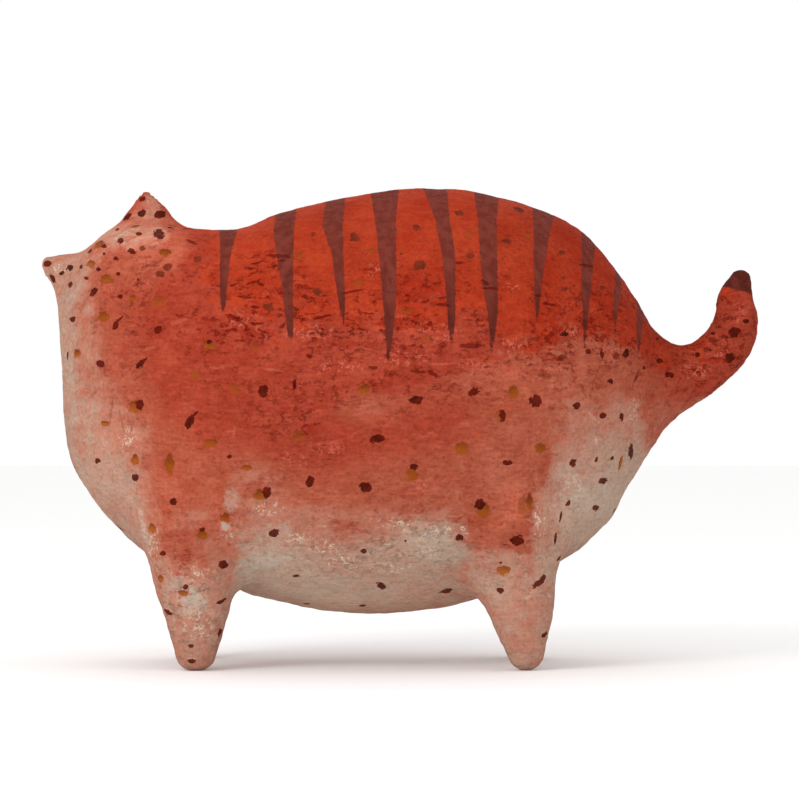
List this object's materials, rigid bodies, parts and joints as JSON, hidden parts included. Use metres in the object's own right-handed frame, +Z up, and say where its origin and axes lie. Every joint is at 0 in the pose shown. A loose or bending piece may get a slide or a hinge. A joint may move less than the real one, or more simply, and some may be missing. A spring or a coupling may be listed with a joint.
{
  "type": "papier-mache cat",
  "caption": "Stout sealed papier-mache cat ornament that stands on stubby tapered legs, with pinched ears, a short raised tail, a striped back and a spotted hand-painted coat.",
  "frame": {"origin": "on the floor, under the middle of the figure's box", "axes": "+X from the head to the tail, +Y to the cat's right, where its face looks, +Z up"},
  "size_m": [0.3564, 0.1858, 0.2377],
  "materials": {
    "painted_paper": "matte hand-painted coat"
  },
  "bodies": {
    "root": {"cat": "painted_paper"}
  },
  "joints": []
}
